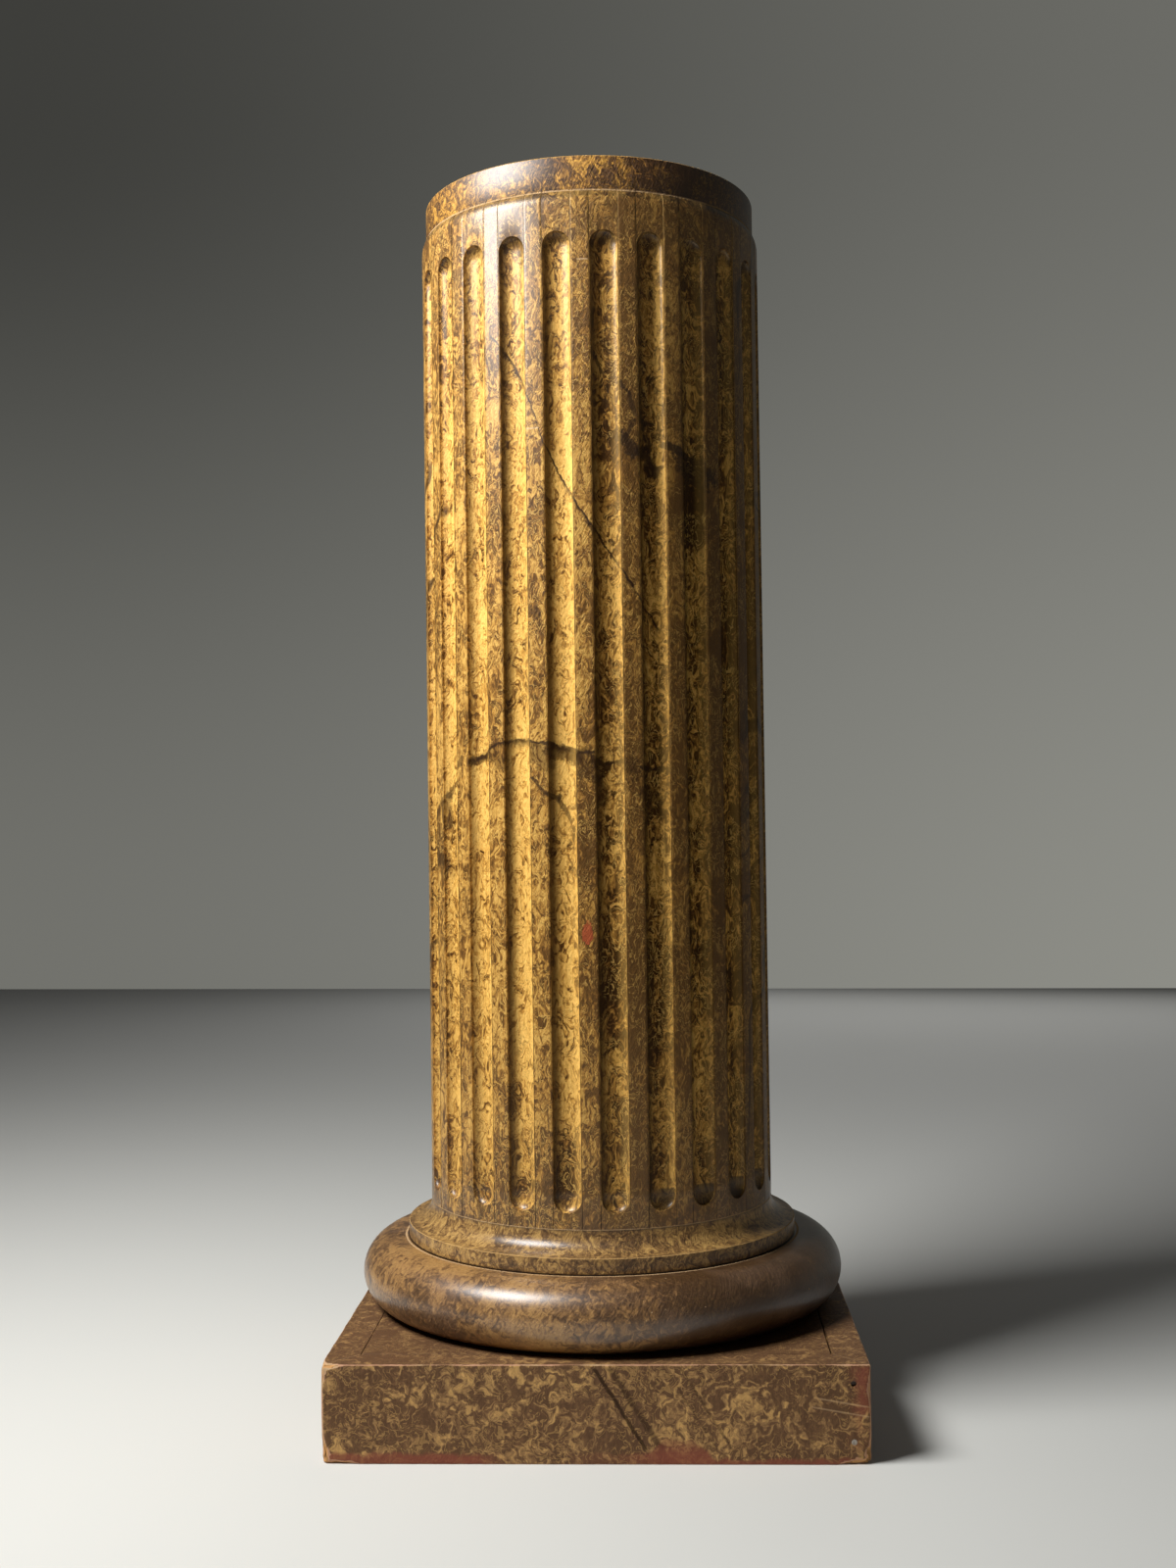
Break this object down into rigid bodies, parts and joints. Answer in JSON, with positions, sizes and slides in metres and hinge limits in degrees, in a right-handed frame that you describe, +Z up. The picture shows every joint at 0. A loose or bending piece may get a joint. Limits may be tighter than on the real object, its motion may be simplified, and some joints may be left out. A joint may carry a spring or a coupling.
{
  "type": "pedestal column stand",
  "caption": "Free-standing fluted column pedestal with a flat round top, a torus and cavetto foot and a square boarded plinth, coopered from bevelled staves and painted to look like marble.",
  "frame": {"origin": "centre of the plinth's underside", "axes": "+Z up along the column, -Y square to the plinth's front board, +X to the right as seen from the front"},
  "size_m": [0.444, 0.444, 1.09],
  "materials": {
    "marbled_paint": "brown glaze mottled over ochre, under satin varnish",
    "bare_softwood": "unpainted planed softwood",
    "iron": "dull drawn iron"
  },
  "bodies": {
    "root": {"cap_disc": "marbled_paint", "corner_glue_blocks": "bare_softwood", "fillet_stave_01": "marbled_paint", "fillet_stave_02": "marbled_paint", "fillet_stave_03": "marbled_paint", "fillet_stave_04": "marbled_paint", "fillet_stave_05": "marbled_paint", "fillet_stave_06": "marbled_paint", "fillet_stave_07": "marbled_paint", "fillet_stave_08": "marbled_paint", "fillet_stave_09": "marbled_paint", "fillet_stave_10": "marbled_paint", "fillet_stave_11": "marbled_paint", "fillet_stave_12": "marbled_paint", "fillet_stave_13": "marbled_paint", "fillet_stave_14": "marbled_paint", "fillet_stave_15": "marbled_paint", "fillet_stave_16": "marbled_paint", "fillet_stave_17": "marbled_paint", "fillet_stave_18": "marbled_paint", "fillet_stave_19": "marbled_paint", "fillet_stave_20": "marbled_paint", "fillet_stave_21": "marbled_paint", "fillet_stave_22": "marbled_paint", "fillet_stave_23": "marbled_paint", "fillet_stave_24": "marbled_paint", "fluted_stave_01": "marbled_paint", "fluted_stave_02": "marbled_paint", "fluted_stave_03": "marbled_paint", "fluted_stave_04": "marbled_paint", "fluted_stave_05": "marbled_paint", "fluted_stave_06": "marbled_paint", "fluted_stave_07": "marbled_paint", "fluted_stave_08": "marbled_paint", "fluted_stave_09": "marbled_paint", "fluted_stave_10": "marbled_paint", "fluted_stave_11": "marbled_paint", "fluted_stave_12": "marbled_paint", "fluted_stave_13": "marbled_paint", "fluted_stave_14": "marbled_paint", "fluted_stave_15": "marbled_paint", "fluted_stave_16": "marbled_paint", "fluted_stave_17": "marbled_paint", "fluted_stave_18": "marbled_paint", "fluted_stave_19": "marbled_paint", "fluted_stave_20": "marbled_paint", "fluted_stave_21": "marbled_paint", "fluted_stave_22": "marbled_paint", "fluted_stave_23": "marbled_paint", "fluted_stave_24": "marbled_paint", "foot_moulding": "marbled_paint", "lower_former": "bare_softwood", "plinth_back_board": "marbled_paint", "plinth_front_board": "marbled_paint", "plinth_left_board": "marbled_paint", "plinth_nails": "iron", "plinth_right_board": "marbled_paint", "plinth_top_panel": "marbled_paint", "torus_moulding": "marbled_paint", "wood_screws": "iron"}
  },
  "joints": []
}
